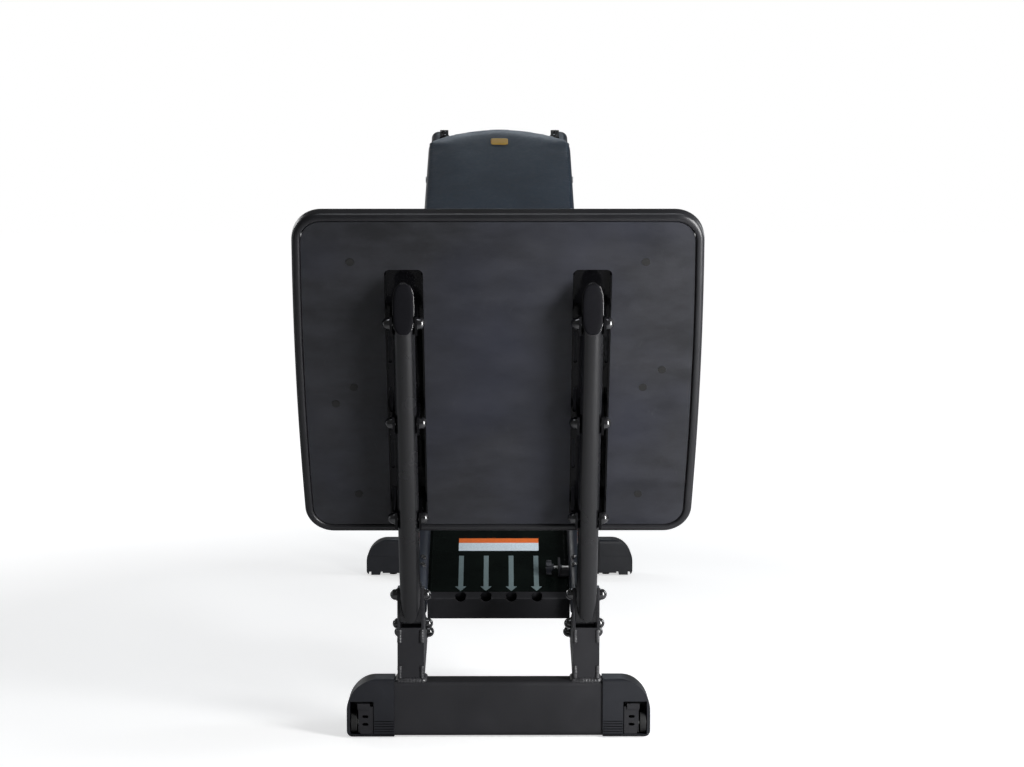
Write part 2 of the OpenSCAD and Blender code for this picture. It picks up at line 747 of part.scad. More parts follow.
front_base_bar();
front_cap_left();
front_cap_right();
rear_base_bar();
rear_cap_left();
rear_cap_right();
floor_pads();
post_left();
post_right();
post_bolts();
wheel_bracket_left();
wheel_bracket_right();
wheel_axles();
wheel_left();
wheel_right();
plate_tube_left();
plate_tube_right();
tube_plugs();
plate_channel_left();
plate_channel_right();
channel_bolts();
jump_plate();
plate_rim();
plate_mat();
plate_plugs();
rail_left();
rail_right();
rail_caps_upper();
rail_caps_lower();
rail_shoe_left();
rail_shoe_right();
band_bar();
band_panel();
band_arrows();
middle_tie();
top_tie();
rear_leg_left();
rear_leg_right();
leg_brace();
leg_bolts();
rail_bumpers();
bumper_screws();
lock_bracket();
lock_knob();
stop_beam();
stop_buffers();
stop_knob_left();
stop_knob_right();
carriage_channels();
carriage_ties();
roller_axles();
glide_board();
back_pad();
band_hooks();
roller_lower_left();
roller_lower_right();
roller_upper_left();
roller_upper_right();
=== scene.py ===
import json
import math
import bmesh
import bpy
import numpy as np
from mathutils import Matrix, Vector


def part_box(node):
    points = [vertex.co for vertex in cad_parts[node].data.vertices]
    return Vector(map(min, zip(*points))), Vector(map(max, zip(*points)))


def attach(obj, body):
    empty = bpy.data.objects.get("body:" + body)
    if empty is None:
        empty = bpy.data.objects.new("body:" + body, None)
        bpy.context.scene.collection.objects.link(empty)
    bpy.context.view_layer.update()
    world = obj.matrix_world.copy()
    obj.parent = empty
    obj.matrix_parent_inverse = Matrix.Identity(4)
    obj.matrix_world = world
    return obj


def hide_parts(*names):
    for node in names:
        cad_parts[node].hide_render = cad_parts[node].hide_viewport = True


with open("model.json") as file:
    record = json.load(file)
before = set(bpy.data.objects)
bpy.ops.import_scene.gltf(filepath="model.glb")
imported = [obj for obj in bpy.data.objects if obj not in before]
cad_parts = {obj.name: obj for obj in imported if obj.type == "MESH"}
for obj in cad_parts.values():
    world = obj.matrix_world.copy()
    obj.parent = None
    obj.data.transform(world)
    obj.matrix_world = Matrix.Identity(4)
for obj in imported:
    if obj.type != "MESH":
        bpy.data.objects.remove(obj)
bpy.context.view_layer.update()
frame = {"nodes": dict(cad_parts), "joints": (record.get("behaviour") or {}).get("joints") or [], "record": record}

nodes = frame["nodes"]
bodyOfNode = {n: b for b, held in frame["record"]["behaviour"]["bodies"].items() for n in held}
slotOfNode = {s["node"]: s["material_slot"] for s in frame["record"]["subparts"]}

# The rails' direction gives the tilt of every leaning piece
railAxis = next(j for j in frame["joints"] if j["name"] == "glideboard_slide")["axis"]
tilt = math.atan2(railAxis[2], railAxis[1])
cosT, sinT = math.cos(tilt), math.sin(tilt)


def toRow(p):  # (x across, u up the rails, w square to them) to the row frame, for a whole array
    p = np.asarray(p, float)
    return np.stack([p[..., 0], p[..., 1] * cosT - p[..., 2] * sinT, p[..., 1] * sinT + p[..., 2] * cosT], -1)


def coordsOf(mesh):
    co = np.empty(len(mesh.vertices) * 3)
    mesh.vertices.foreach_get("co", co)
    return co.reshape(-1, 3)


def faceValues(mesh, what):  # the centre or the normal of every face, as rows of three
    values = np.empty(len(mesh.polygons) * 3)
    mesh.polygons.foreach_get(what, values)
    return values.reshape(-1, 3)


def tiltedBox(node):  # lowest and highest (x, u, w) of a node
    c = coordsOf(nodes[node].data)
    t = np.stack([c[:, 0], c[:, 1] * cosT + c[:, 2] * sinT, c[:, 2] * cosT - c[:, 1] * sinT], -1)
    return t.min(0), t.max(0)


# Mesh helpers
def meshFromGrid(name, grid, closeU=False, closeV=False, capEnds=False):
    # Quads over a rows x columns grid of points; closed ways wrap round, and ends may be capped with a fan
    rows, cols = grid.shape[:2]
    index = np.arange(rows * cols).reshape(rows, cols)
    if closeU:
        index = np.vstack([index, index[:1]])
    if closeV:
        index = np.hstack([index, index[:, :1]])
    quads = np.stack([index[:-1, :-1], index[1:, :-1], index[1:, 1:], index[:-1, 1:]], -1).reshape(-1, 4)
    faces = quads.tolist()
    points = grid.reshape(-1, 3)
    if capEnds:  # each end row closes on its own middle point
        ends = np.stack([grid[0].mean(0), grid[-1].mean(0)])
        base = len(points)
        points = np.vstack([points, ends])
        ring0, ring1 = index[0], index[-1]
        faces += np.stack([ring0[:-1], ring0[1:], np.full(len(ring0) - 1, base)], -1).tolist()
        faces += np.stack([ring1[1:], ring1[:-1], np.full(len(ring1) - 1, base + 1)], -1).tolist()
    mesh = bpy.data.meshes.new(name)
    mesh.from_pydata(points.tolist(), [], faces)
    return mesh


def outwards(mesh, merge=1e-6):
    bm = bmesh.new()
    bm.from_mesh(mesh)
    bmesh.ops.remove_doubles(bm, verts=bm.verts, dist=merge)
    bmesh.ops.recalc_face_normals(bm, faces=bm.faces)
    bm.to_mesh(mesh)
    bm.free()


def joined(name, meshes):  # several meshes as one
    bm = bmesh.new()
    for m in meshes:
        bm.from_mesh(m)
    mesh = bpy.data.meshes.new(name)
    bm.to_mesh(mesh)
    bm.free()
    return mesh


def addPiece(name, mesh, body, material, smooth=True, replaces=()):
    piece = bpy.data.objects.new(name, mesh)
    bpy.context.scene.collection.objects.link(piece)
    mesh.materials.clear()
    mesh.materials.append(material)
    mesh.polygons.foreach_set("use_smooth", np.full(len(mesh.polygons), smooth))
    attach(piece, body)
    if replaces:
        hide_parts(*replaces)
    return piece


def sweep(path, section, closed=True, normal=(0, 0, 1), swell=None):
    # Carries a section (out, up) along a path: out is normal x tangent, up is the given normal
    path = np.asarray(path, float)
    if closed:
        tangent = np.roll(path, -1, 0) - np.roll(path, 1, 0)
    else:
        tangent = np.gradient(path, axis=0)
    tangent /= np.linalg.norm(tangent, axis=1)[:, None]
    up = np.broadcast_to(np.asarray(normal, float), path.shape)
    out = np.cross(tangent, up)
    out /= np.linalg.norm(out, axis=1)[:, None]
    up = np.cross(out, tangent)
    size = np.ones(len(path)) if swell is None else swell
    return (path[:, None] + size[:, None, None] * (section[None, :, :1] * out[:, None]
                                                    + section[None, :, 1:] * up[:, None]))


def roundSection(radius, sides=10):
    a = np.linspace(0, 2 * math.pi, sides, endpoint=False)
    return radius * np.stack([np.cos(a), np.sin(a)], -1)


# Materials
class nodeTree:  # shorthand for building one material's nodes
    def __init__(self, name):
        self.material = bpy.data.materials.new(name)
        self.material.use_nodes = True
        self.tree = self.material.node_tree
        self.shader = self.tree.nodes["Principled BSDF"]
        self.coords = self.tree.nodes.new("ShaderNodeTexCoord").outputs["Object"]

    def add(self, kind, inputs=None, **settings):
        node = self.tree.nodes.new("ShaderNode" + kind)
        for key, value in settings.items():
            setattr(node, key, value)
        for key, value in (inputs or {}).items():
            if isinstance(value, bpy.types.NodeSocket):
                self.tree.links.new(value, node.inputs[key])
            else:
                node.inputs[key].default_value = value
        return node

    def noise(self, scale, detail=3.0, rough=0.5, stretch=None):
        vector = self.coords
        if stretch:
            vector = self.add("Mapping", {"Vector": vector, "Scale": stretch}).outputs["Vector"]
        return self.add("TexNoise", {"Vector": vector, "Scale": scale, "Detail": detail,
                                     "Roughness": rough}).outputs["Fac"]

    def cells(self, scale, feature="F1"):
        cell = self.add("TexVoronoi", {"Vector": self.coords, "Scale": scale}, feature=feature)
        return cell.outputs["Distance"]

    def remap(self, value, low, high, fromLow=0.0, fromHigh=1.0):
        return self.add("MapRange", {"Value": value, "From Min": fromLow, "From Max": fromHigh,
                                     "To Min": low, "To Max": high}).outputs["Result"]

    def math(self, operation, a, b):
        return self.add("Math", {0: a, 1: b}, operation=operation).outputs[0]

    def ramp(self, value, stops):
        node = self.add("ValToRGB", {"Fac": value})
        elements = node.color_ramp.elements
        while len(elements) < len(stops):
            elements.new(0.5)
        for element, (place, colour) in zip(elements, stops):
            element.position = place
            element.color = (*colour, 1)
        return node.outputs["Color"]

    def mix(self, factor, a, b, blend="MIX"):
        node = self.add("Mix", {"Factor": factor}, data_type="RGBA", blend_type=blend)
        for socket, value in (("A", a), ("B", b)):
            target = next(s for s in node.inputs if s.name == socket and s.type == "RGBA")
            if isinstance(value, bpy.types.NodeSocket):
                self.tree.links.new(value, target)
            else:
                target.default_value = (*value, 1)
        return next(s for s in node.outputs if s.type == "RGBA")

    def bump(self, height, strength, distance, under=None):
        inputs = {"Height": height, "Strength": strength, "Distance": distance}
        if under is not None:
            inputs["Normal"] = under
        return self.add("Bump", inputs).outputs["Normal"]

    def finish(self, colour=None, rough=None, normal=None, **fixed):
        for key, value in (("Base Color", colour), ("Roughness", rough), ("Normal", normal)):
            if value is None:
                continue
            if isinstance(value, bpy.types.NodeSocket):
                self.tree.links.new(value, self.shader.inputs[key])
            else:
                self.shader.inputs[key].default_value = value
        for key, value in fixed.items():
            self.shader.inputs[key.replace("_", " ")].default_value = value
        return self.material


def shade(colour, factor):
    return tuple(c * factor for c in colour)


def powderCoat(name, colour, rough=(0.42, 0.56), grain=1100, depth=0.00012, patch=5.0, specular=0.5):
    # Fine orange-peel grain with broad, faint changes of tone and gloss
    t = nodeTree(name)
    broad = t.noise(patch, 4, 0.6)
    fine = t.noise(grain, 2, 0.6)
    tone = t.ramp(broad, [(0.3, shade(colour, 0.8)), (0.7, shade(colour, 1.25))])
    speck = t.mix(t.remap(fine, 0.0, 0.35, 0.45, 0.75), tone, shade(colour, 1.8))
    gloss = t.remap(t.noise(patch * 4, 3), rough[0], rough[1], 0.3, 0.7)
    peel = t.bump(t.noise(grain * 0.35, 2), 0.25, depth)
    return t.finish(speck, gloss, t.bump(fine, 0.35, depth, peel), Specular_IOR_Level=specular)


def moulded(name, colour, rough=(0.38, 0.55), grain=700, depth=0.0001, specular=0.5):
    # Spark-eroded mould texture: small cells over slow tone changes, with rubbed lighter spots
    t = nodeTree(name)
    cell = t.cells(grain)
    broad = t.noise(9, 4, 0.6)
    tone = t.ramp(broad, [(0.3, shade(colour, 0.82)), (0.75, shade(colour, 1.3))])
    rubbed = t.mix(t.remap(t.noise(45, 5, 0.7), 0.0, 0.5, 0.58, 0.8), tone, shade(colour, 2.0))
    gloss = t.remap(broad, rough[0], rough[1], 0.3, 0.7)
    return t.finish(rubbed, gloss, t.bump(cell, 0.3, depth), Specular_IOR_Level=specular)


def rubberFinish(name, colour, rough=(0.6, 0.8), grain=420):
    t = nodeTree(name)
    dust = t.noise(28, 6, 0.7)
    tone = t.ramp(dust, [(0.35, colour), (0.75, shade(colour, 1.9))])
    grip = t.cells(grain)
    return t.finish(tone, t.remap(dust, rough[0], rough[1]), t.bump(grip, 0.45, 0.0003),
                    Specular_IOR_Level=0.35)


def plateFinish(name):
    # Hard moulded skin, with long faint wipe marks and a few bluish clouds
    look = {"dark": (0.0135, 0.0140, 0.0165), "light": (0.030, 0.031, 0.038), "cloud": (0.022, 0.025, 0.045)}
    t = nodeTree(name)
    wipe = t.noise(7.5, 7, 0.68, (1.0, 1.0, 2.4))
    cloud = t.noise(2.6, 3, 0.5)
    scuff = t.noise(60, 8, 0.75, (1.0, 1.0, 0.25))
    tone = t.ramp(wipe, [(0.34, look["dark"]), (0.68, look["light"])])
    tinted = t.mix(t.remap(cloud, 0.0, 0.55, 0.45, 0.7), tone, look["cloud"])
    worn = t.mix(t.remap(scuff, 0.0, 0.22, 0.6, 0.78), tinted, (0.07, 0.07, 0.075))
    gloss = t.remap(wipe, 0.40, 0.62, 0.3, 0.7)
    peel = t.bump(t.noise(18, 3), 0.12, 0.002)
    return t.finish(worn, gloss, t.bump(t.noise(900, 2), 0.3, 0.00015, peel), Specular_IOR_Level=0.42)


def vinylFinish(name):
    # Cross-grained upholstery vinyl: cell pores, soft creases, mottled tone, and thread along the seam
    look = {"dark": (0.009, 0.016, 0.028), "mid": (0.016, 0.027, 0.046), "light": (0.027, 0.044, 0.068),
            "thread": (0.055, 0.065, 0.080)}
    t = nodeTree(name)
    broad = t.noise(6, 5, 0.62)
    fine = t.noise(75, 5, 0.65)
    tone = t.ramp(broad, [(0.28, look["dark"]), (0.5, look["mid"]), (0.78, look["light"])])
    mottled = t.mix(t.remap(fine, 0.0, 0.6, 0.42, 0.68), tone, look["light"])
    seam = t.add("Attribute", attribute_name="seamNearness").outputs["Fac"]
    along = t.add("Attribute", attribute_name="seamLength").outputs["Fac"]
    dash = t.math("GREATER_THAN", t.math("FRACT", t.math("MULTIPLY", along, 160.0), 0.0), 0.35)
    onThread = t.math("MULTIPLY", t.math("GREATER_THAN", seam, 0.9), dash)
    stitched = t.mix(onThread, t.mix(t.math("MULTIPLY", seam, 0.6), mottled, look["dark"]), look["thread"])
    pores = t.cells(850, "SMOOTH_F1")
    crease = t.bump(t.noise(32, 5, 0.6), 0.22, 0.0012)
    grain = t.bump(pores, 0.35, 0.00035, crease)
    return t.finish(stitched, t.remap(fine, 0.40, 0.56, 0.3, 0.7), grain, Specular_IOR_Level=0.30,
                    Sheen_Weight=0.03, Sheen_Roughness=0.4)


def zincFinish(name):
    t = nodeTree(name)
    spangle = t.cells(160)
    tone = t.ramp(spangle, [(0.0, (0.42, 0.42, 0.41)), (0.8, (0.62, 0.62, 0.60))])
    return t.finish(tone, t.remap(t.noise(120, 3), 0.22, 0.42), t.bump(t.noise(500, 2), 0.1, 0.0001),
                    Metallic=1.0)


def glossPanel(name):
    # Back-painted sheet: deep green-black under a smooth face with faint haze
    t = nodeTree(name)
    haze = t.noise(12, 5, 0.7)
    tone = t.ramp(haze, [(0.3, (0.0030, 0.0045, 0.0040)), (0.8, (0.0065, 0.0100, 0.0085))])
    return t.finish(tone, t.remap(haze, 0.16, 0.30), t.bump(t.noise(6, 2), 0.04, 0.002),
                    Specular_IOR_Level=0.05)


def printed(name, colour, rough=0.45):
    t = nodeTree(name)
    ink = t.noise(320, 4, 0.7)
    tone = t.ramp(ink, [(0.3, shade(colour, 0.82)), (0.7, shade(colour, 1.12))])
    return t.finish(tone, t.remap(ink, rough - 0.06, rough + 0.08), t.bump(ink, 0.1, 0.00005))


def domeGloss(name):
    # Black oxide under oil: hard, small highlights and a fine hammered skin
    t = nodeTree(name)
    skin = t.noise(240, 3, 0.6)
    tone = t.ramp(skin, [(0.3, (0.006, 0.006, 0.007)), (0.8, (0.016, 0.016, 0.018))])
    return t.finish(tone, t.remap(skin, 0.10, 0.24), t.bump(skin, 0.12, 0.0003), Specular_IOR_Level=0.9,
                    Coat_Weight=0.6, Coat_Roughness=0.06)


def weldFinish(name):
    t = nodeTree(name)
    ripple = t.noise(160, 4, 0.6)
    tone = t.ramp(ripple, [(0.3, (0.020, 0.020, 0.022)), (0.75, (0.060, 0.060, 0.064))])
    return t.finish(tone, t.remap(ripple, 0.22, 0.45), t.bump(ripple, 0.6, 0.0008), Specular_IOR_Level=0.7)


def boardFinish(name):
    t = nodeTree(name)
    ply = t.noise(30, 6, 0.7, (1.0, 0.12, 1.0))
    tone = t.ramp(ply, [(0.3, (0.010, 0.010, 0.010)), (0.7, (0.026, 0.025, 0.024))])
    return t.finish(tone, t.remap(ply, 0.45, 0.6), t.bump(t.noise(500, 3), 0.3, 0.0002))


finishes = {
    "black_steel": powderCoat("textured black coat", (0.017, 0.017, 0.0195), specular=0.35),
    "satin_steel": powderCoat("satin black coat", (0.007, 0.007, 0.008), rough=(0.24, 0.28), grain=1600,
                              depth=0.00001, specular=0.7),
    "slate_rail": powderCoat("slate rail coat", (0.017, 0.022, 0.033), rough=(0.34, 0.46), grain=1400,
                             depth=0.00006),
    "dome_nut": domeGloss("oiled black nut"),
    "zinc": zincFinish("zinc plate"),
    "moulded": moulded("moulded cap", (0.0115, 0.0125, 0.0165), rough=(0.34, 0.48)),
    "panel_gloss": glossPanel("gloss anchor panel"),
    "arrow_grey": printed("grey green print", (0.190, 0.255, 0.265)),
    "plate_charcoal": plateFinish("charcoal plate"),
    "black_rubber": rubberFinish("black rubber", (0.012, 0.012, 0.012)),
    "board": boardFinish("black board"),
    "pad_vinyl": vinylFinish("pad vinyl"),
    "roller_grey": moulded("roller tread", (0.05, 0.05, 0.055), rough=(0.3, 0.45)),
}
pocketGloss = powderCoat("gloss pocket coat", (0.0035, 0.0035, 0.0042), rough=(0.10, 0.2), grain=300,
                         depth=0.0002, specular=0.16)
rimFinish = moulded("rim moulding", (0.013, 0.013, 0.0150), rough=(0.26, 0.38), grain=1100, depth=0.00005)
weldCoat = weldFinish("coated weld")
plugFinish = moulded("matte plug", (0.0055, 0.0055, 0.0075), rough=(0.6, 0.75), grain=500, depth=0.00006,
                     specular=0.12)
print("materials", len(finishes))

for name, node in nodes.items():
    node.data.materials.clear()
    node.data.materials.append(finishes[slotOfNode[name]])

# Edges of pressed, cut and moulded pieces are broken by a small round, in millimetres
softEdges = {
    "post_left": 1.0, "post_right": 1.0, "plate_channel_left": 0.9, "plate_channel_right": 0.9,
    "rear_cap_left": 1.2, "rear_cap_right": 1.2,
    "wheel_bracket_left": 0.8, "wheel_bracket_right": 0.8, "band_bar": 0.5, "band_panel": 0.6,
    "rail_caps_upper": 2.2, "rail_caps_lower": 1.6, "rail_shoe_left": 1.2, "rail_shoe_right": 1.2,
    "lock_bracket": 0.7, "lock_knob": 1.3, "stop_beam": 0.9, "stop_knob_left": 1.8, "stop_knob_right": 1.8,
    "rail_bumpers": 1.4, "carriage_channels": 0.8, "band_hooks": 0.7, "glide_board": 1.2, "jump_plate": 1.2,
    "plate_mat": 1.2, "stop_buffers": 1.2, "wheel_left": 1.2, "wheel_right": 1.2, "floor_pads": 0.6,
    "leg_bolts": 0.3, "plate_tube_left": 0.5, "plate_tube_right": 0.5, "bumper_screws": 0.6,
}
ownFinish = {"plate_channel_left": pocketGloss, "plate_channel_right": pocketGloss}
softenShape = {"merge": 2e-5, "flatDegrees": 0.6, "sharpDegrees": 28, "segments": 2}


def softened(name, width):
    # A copy of the node with doubles merged and flat triangles joined, and a rounded bevel on its sharp edges
    mesh = nodes[name].data.copy()
    bm = bmesh.new()
    bm.from_mesh(mesh)
    bmesh.ops.remove_doubles(bm, verts=bm.verts, dist=softenShape["merge"])
    bmesh.ops.dissolve_limit(bm, angle_limit=math.radians(softenShape["flatDegrees"]), verts=bm.verts,
                             edges=bm.edges)
    bm.to_mesh(mesh)
    bm.free()
    piece = addPiece(name + "_shell", mesh, bodyOfNode[name],
                     ownFinish.get(name, finishes[slotOfNode[name]]), replaces=(name,))
    bevel = piece.modifiers.new("edge round", "BEVEL")
    bevel.width = width / 1000
    bevel.segments = softenShape["segments"]
    bevel.limit_method = "ANGLE"
    bevel.angle_limit = math.radians(softenShape["sharpDegrees"])
    bevel.use_clamp_overlap = True
    bevel.harden_normals = False
    bevel.miter_outer = "MITER_ARC"
    weighted = piece.modifiers.new("flat faces stay flat", "WEIGHTED_NORMAL")
    weighted.keep_sharp = False
    weighted.weight = 100


for name, width in softEdges.items():
    softened(name, width)

# The lock knob's shank: its reach from the axis, and where it starts across the machine
knobShaft = {"radius": 0.0056, "from": 0.1196}


def plateKnobShaft():
    # Faces of the lock knob that lie close to its axis, past the star grip, take the plated finish
    piece = bpy.data.objects["lock_knob_shell"]
    mesh = piece.data
    joint = next(j for j in frame["joints"] if j["name"] == "lock_knob_turn")
    spots = faceValues(mesh, "center")
    far = np.linalg.norm((spots - np.array(joint["pos_m"]))[:, 1:], axis=1)
    shaft = (far < knobShaft["radius"]) & (spots[:, 0] > knobShaft["from"])
    mesh.materials.append(finishes["zinc"])
    mesh.polygons.foreach_set("material_index", shaft.astype(np.int32))


# The front caps' grooves: how far their floors lie behind the front face, how square a face is, and their top
grooveShape = {"from": 0.0001, "to": 0.0013, "square": 0.9, "top": 0.045}


def paintGrooveShade():
    # Painted shade in the grooves: a black finish on faces just behind the caps' front face that look forwards, up
    # or down
    black = moulded("painted groove shade", (0.003, 0.003, 0.0035), specular=0.1)
    for name in ("front_cap_left", "front_cap_right"):
        mesh = nodes[name].data.copy()
        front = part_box(name)[0].y
        spots, normals = faceValues(mesh, "center"), faceValues(mesh, "normal")
        behind = spots[:, 1] - front
        square = (normals[:, 1] < -grooveShape["square"]) | (np.abs(normals[:, 2]) > grooveShape["square"])
        groove = (behind > grooveShape["from"]) & (behind < grooveShape["to"]) & square
        groove &= spots[:, 2] < grooveShape["top"]
        piece = addPiece(name + "_shell", mesh, bodyOfNode[name], finishes["moulded"],
                         smooth=False, replaces=(name,))
        # The groove faces take the black finish, which is painted shade, not the cap's own colour
        piece.data.materials.append(black)
        piece.data.polygons.foreach_set("material_index", groove.astype(np.int32))


plateKnobShaft()
paintGrooveShade()
print("softened edges", len(softEdges))

# Raised rim of the jump plate: a rounded profile carried round the plate's outline
rimShape = {"width": 0.017, "outerRound": 0.0095, "innerRound": 0.0055, "backRound": 0.005,
            "backInnerRound": 0.002, "cornerRadius": 0.060, "cornerBand": 0.002, "outgrown": 0.004}


def rimPath(count=52):
    # Corner arcs joined by sides that bow out as a parabola; runs anticlockwise seen from the foot end
    lo, hi = tiltedBox("plate_rim")
    r = rimShape["cornerRadius"]
    tall = hi[2] - lo[2]
    halfMiddle = (hi[0] - lo[0]) / 2
    middleX = (hi[0] + lo[0]) / 2
    c = coordsOf(nodes["plate_rim"].data)
    w = c[:, 2] * cosT - c[:, 1] * sinT
    atCorner = np.abs(w - (lo[2] + r)) < rimShape["cornerBand"]
    halfEnd = c[atCorner, 0].max() - middleX
    bow = halfMiddle - halfEnd
    a = np.linspace(0, math.pi / 2, 15)
    low = np.stack([halfEnd - r + r * np.sin(a), lo[2] + r - r * np.cos(a)], -1)
    high = np.stack([halfEnd - r + r * np.cos(a), hi[2] - r + r * np.sin(a)], -1)
    t = np.linspace(0, 1, count)[1:-1]
    side = np.stack([halfEnd + bow * (1 - (2 * t - 1) ** 2), lo[2] + r + t * (tall - 2 * r)], -1)
    right = np.vstack([low, side, high])
    left = right[::-1] * [-1, 1]
    top = np.stack([np.linspace(right[-1, 0], left[0, 0], 24)[1:-1], np.full(22, hi[2])], -1)
    bottom = np.stack([np.linspace(left[-1, 0], right[0, 0], 24)[1:-1], np.full(22, lo[2])], -1)
    flat = np.vstack([right, top, left, bottom])
    return flat + [middleX, 0], lo[1], hi[1]


def rimSection(depth):
    # Rounded rectangle, width inwards from 0, depth from the front face at 0 to the back
    width = rimShape["width"]
    corners = [(0, 0, rimShape["outerRound"], 180), (width, 0, rimShape["innerRound"], 270),
               (width, depth, rimShape["backInnerRound"], 0), (0, depth, rimShape["backRound"], 90)]
    out = []
    for x, y, r, start in corners:
        cx = r if x == 0 else width - r
        cy = r if y == 0 else depth - r
        a = np.radians(np.linspace(start, start + 90, 7))
        out.append(np.stack([cx + r * np.cos(a), cy + r * np.sin(a)], -1))
    return np.vstack(out)


def makeRim():
    outline, front, back = rimPath()
    path = np.stack([outline[:, 0], np.full(len(outline), front), outline[:, 1]], -1)
    grid = sweep(path, rimSection(back - front), normal=(0, 1, 0))
    if np.ptp(grid[..., 0]) > np.ptp(outline[:, 0]) + rimShape["outgrown"]:  # the section went outwards
        grid = sweep(path, rimSection(back - front) * [-1, 1], normal=(0, 1, 0))
    mesh = meshFromGrid("rim", toRow(grid), closeU=True, closeV=True)
    outwards(mesh)
    addPiece("plate_rim_moulding", mesh, "frame", rimFinish, replaces=("plate_rim",))


makeRim()
print("rim")

# Domed oval plugs on the tubes' upright bevels
plugShape = {"dome": 0.0042, "skirt": 0.0016, "edgePower": 4.0, "corner": 2.9, "tall": 0.965, "lower": 0.005,
             "underLip": 0.9, "rim": 0.0012, "rimBack": 0.0006, "rings": 14, "sides": 72}


def makeTubePlugs():
    # Superellipse rings, (a p cos^k t, b p sin^k t) with k = 2 / corner, at height dome (1 - p^n)^(1/n) over
    # a skirt
    lo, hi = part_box("tube_plugs")
    half = (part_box("plate_tube_left")[1].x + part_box("plate_tube_left")[0].x) / 2
    a, b = hi.x - abs(half), (hi.z - lo.z) / 2
    cz, back = (hi.z + lo.z) / 2 - plugShape["lower"], hi.y
    b *= plugShape["tall"]
    p = np.sin(np.linspace(0.02, math.pi / 2, plugShape["rings"]))
    n = plugShape["edgePower"]
    height = plugShape["skirt"] + plugShape["dome"] * np.maximum(1 - p ** n, 0) ** (1 / n)
    p, height = np.append(p, [1.0, plugShape["underLip"]]), np.append(height, [0.0, 0.0])
    t = np.linspace(0, 2 * math.pi, plugShape["sides"], endpoint=False)
    k = 2 / plugShape["corner"]
    across, along = (np.sign(f) * np.abs(f) ** k for f in (np.cos(t), np.sin(t)))
    grid = np.stack([a * p[:, None] * across, np.broadcast_to(back - height[:, None], (len(p), len(t))),
                     cz + b * p[:, None] * along], -1)
    both = [meshFromGrid("plug", grid + [side * abs(half), 0, 0], closeV=True, capEnds=True)
            for side in (-1, 1)]
    mesh = joined("tube plugs", both)
    outwards(mesh)
    addPiece("tube_plug_domes", mesh, "frame", plugFinish, replaces=("tube_plugs",))
    # Polished edge of the tube round each plug: a thin round bead along the outer ring
    ring = grid[-2] + [0, plugShape["rimBack"], 0]
    rims = [meshFromGrid("rim bead", sweep(np.vstack([ring, ring[:1]]) + [side * abs(half), 0, 0],
                                           roundSection(plugShape["rim"], 8), closed=False, normal=(0, 1, 0)),
                         closeV=True) for side in (-1, 1)]
    mesh = joined("tube plug rims", rims)
    outwards(mesh)
    addPiece("tube_edge_beads", mesh, "frame", finishes["dome_nut"])


makeTubePlugs()

# Weld beads: rippled rods laid along the joints of posts, bars and legs
weldShape = {"radius": 0.0052, "ripple": 0.16, "pitch": 0.0064, "taper": 0.004, "least": 0.05,
             "lean": (0.31, 0.52, 0.79), "footRun": 0.052, "plateTop": 0.117, "inset": 0.0045,
             "proud": 0.0015, "seamRadius": 0.0044, "braceRadius": 0.0032}


def weldBead(path, radius=None, seed=0):
    # A round section whose size swells with each ripple and wanders a little along the joint
    path = np.asarray(path, float)
    gaps = np.linalg.norm(np.diff(path, axis=0), axis=1)
    length = gaps.sum()
    count = max(8, int(length / (weldShape["pitch"] / 4)))
    s = np.linspace(0, length, count)
    known = np.concatenate([[0], np.cumsum(gaps)])
    fine = np.stack([np.interp(s, known, path[:, k]) for k in range(3)], -1)
    rng = np.random.default_rng(seed)
    knots = max(3, count // 10)
    wander = np.interp(s, np.linspace(0, length, knots), rng.uniform(0.8, 1.2, knots))
    ripple = 1 + weldShape["ripple"] * np.abs(np.sin(math.pi * s / weldShape["pitch"]))
    ends = np.sin(np.clip(np.minimum(s, length - s) / weldShape["taper"], 0, 1) * math.pi / 2) ** 0.5
    swell = np.maximum(ripple * wander * ends, weldShape["least"])
    grid = sweep(fine, roundSection(radius or weldShape["radius"], 8), closed=False,
                 normal=weldShape["lean"], swell=swell)
    mesh = meshFromGrid("bead", grid, closeV=True, capEnds=True)
    outwards(mesh)
    return mesh


def makeWelds():
    beads = []
    for name in ("post_left", "post_right"):
        lo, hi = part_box(name)
        top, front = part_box("front_base_bar")[1].z, lo.y
        x0, x1 = lo.x, hi.x
        rear, face = front + weldShape["footRun"], front + weldShape["proud"]
        foot = [(x0, rear, top), (x0, front, top), (x1, front, top), (x1, rear, top)]
        beads.append(weldBead(foot, seed=len(beads)))
        beads.append(weldBead([(x0, rear, top), (x1, rear, top)], seed=len(beads)))
        plateTop = top + weldShape["plateTop"]
        for low, high in ((0.003, 0.034), (plateTop - top - 0.036, plateTop - top - 0.004)):
            for x in (x0 + weldShape["inset"], x1 - weldShape["inset"]):
                upright = [(x, face, top + low), (x, face, top + high)]
                beads.append(weldBead(upright, weldShape["seamRadius"], len(beads)))
    addPiece("post_welds", joined("post welds", beads), "frame", weldCoat)
    beads = []
    for name in ("rear_leg_left", "rear_leg_right"):
        lo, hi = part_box(name)
        z = lo.z
        ring = [(lo.x, lo.y, z), (hi.x, lo.y, z), (hi.x, hi.y, z), (lo.x, hi.y, z), (lo.x, lo.y, z)]
        beads.append(weldBead(ring, seed=20 + len(beads)))
        low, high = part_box("leg_brace")
        x = low.x if lo.x < 0 else high.x
        for y in (low.y, high.y):
            beads.append(weldBead([(x, y, low.z), (x, y, high.z)], weldShape["braceRadius"], 30 + len(beads)))
        for z in (low.z, high.z):
            beads.append(weldBead([(x, low.y, z), (x, high.y, z)], weldShape["braceRadius"], 40 + len(beads)))
    addPiece("leg_welds", joined("leg welds", beads), "frame", weldCoat)


makeWelds()
print("welds")

# Blank two-colour plate above the arrows
noticeShape = {"halfWidth": 0.092, "band": 0.019, "pale": 0.032, "above": 0.021, "thick": 0.0005}


